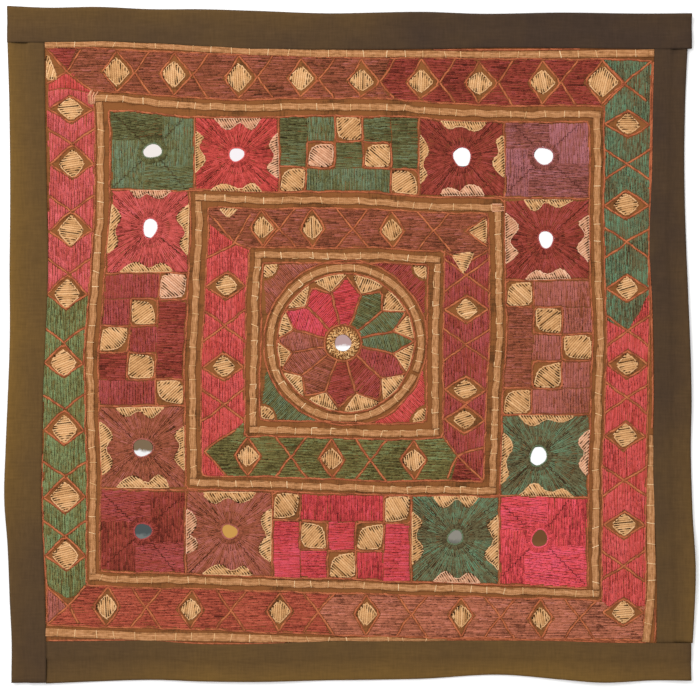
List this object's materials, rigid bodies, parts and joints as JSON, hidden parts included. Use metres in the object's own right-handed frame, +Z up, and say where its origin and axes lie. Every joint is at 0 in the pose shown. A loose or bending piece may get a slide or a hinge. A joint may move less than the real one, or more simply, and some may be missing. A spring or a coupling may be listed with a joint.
{
  "type": "embroidered tablecloth",
  "caption": "Square table cover, flat, with satin-stitched bands and patches round a flower, couched braid frames, small round mirrors and a folded cotton border.",
  "frame": {"origin": "under the middle of the cloth, on the surface that it lies on", "axes": "+Z up out of the embroidered face, +Y towards the top edge, +X towards the right edge"},
  "size_m": [0.4139, 0.4059, 0.0034],
  "materials": {
    "embroidery": "hand satin stitch in soft floss on brown cotton",
    "border_cotton": "plain-woven olive-brown cotton, folded double",
    "braid": "flat tan braid, couched down with thread",
    "mirror_glass": "small hand-cut silvered glass"
  },
  "bodies": {
    "root": {"panel": "embroidery", "strip_top": "border_cotton", "strip_left": "border_cotton", "strip_bottom": "border_cotton", "strip_right": "border_cotton", "braid_edge_top": "braid", "braid_edge_right": "braid", "braid_edge_bottom": "braid", "braid_wide_top": "braid", "braid_wide_right": "braid", "braid_wide_bottom": "braid", "braid_wide_left": "braid", "braid_middle_top": "braid", "braid_middle_right": "braid", "braid_middle_bottom": "braid", "braid_middle_left": "braid", "braid_narrow_top": "braid", "braid_narrow_right": "braid", "braid_narrow_bottom": "braid", "braid_narrow_left": "braid", "braid_ring": "braid", "mirror_top_left": "mirror_glass", "mirror_top_second": "mirror_glass", "mirror_top_fourth": "mirror_glass", "mirror_top_right": "mirror_glass", "mirror_right_second": "mirror_glass", "mirror_right_fourth": "mirror_glass", "mirror_bottom_right": "mirror_glass", "mirror_bottom_fourth": "mirror_glass", "mirror_bottom_second": "mirror_glass", "mirror_bottom_left": "mirror_glass", "mirror_left_fourth": "mirror_glass", "mirror_left_second": "mirror_glass", "mirror_flower": "mirror_glass"}
  },
  "joints": []
}
